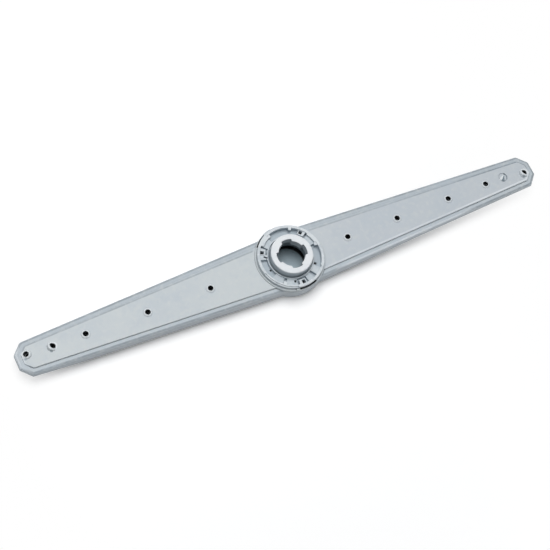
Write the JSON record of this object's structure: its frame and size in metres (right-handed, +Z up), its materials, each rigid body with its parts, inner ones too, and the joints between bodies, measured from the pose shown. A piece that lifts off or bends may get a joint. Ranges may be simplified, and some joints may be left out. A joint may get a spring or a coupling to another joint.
{
  "type": "dishwasher spray arm",
  "caption": "Long two-blade spray arm, hollow inside, with water jets along both blades and a round hub that turns about a keyed inlet bush.",
  "frame": {"origin": "on the hub axis, in the plane of the hub's underside", "axes": "+X along the blades, +Z up along the hub axis, out of the inlet bush's mouth"},
  "size_m": [0.48, 0.0594, 0.0235],
  "materials": {
    "arm_plastic": "satin moulded polypropylene, light blue-grey",
    "ring_plastic": "satin moulded plastic, light blue-grey",
    "bush_plastic": "smooth moulded acetal, very light grey",
    "bearing_plastic": "smooth moulded acetal, off-white"
  },
  "bodies": {
    "arm": {"lower_shell": "arm_plastic", "upper_shell": "arm_plastic", "hub_ring": "ring_plastic", "bearing_ring": "bearing_plastic"},
    "bush": {"inlet_bush": "bush_plastic"}
  },
  "joints": [
    {"name": "bush_turn", "type": "hinge", "parent": "arm", "child": "bush", "pos_m": [0, 0, 0.014], "axis": [0, 0, 1], "continuous": true}
  ]
}
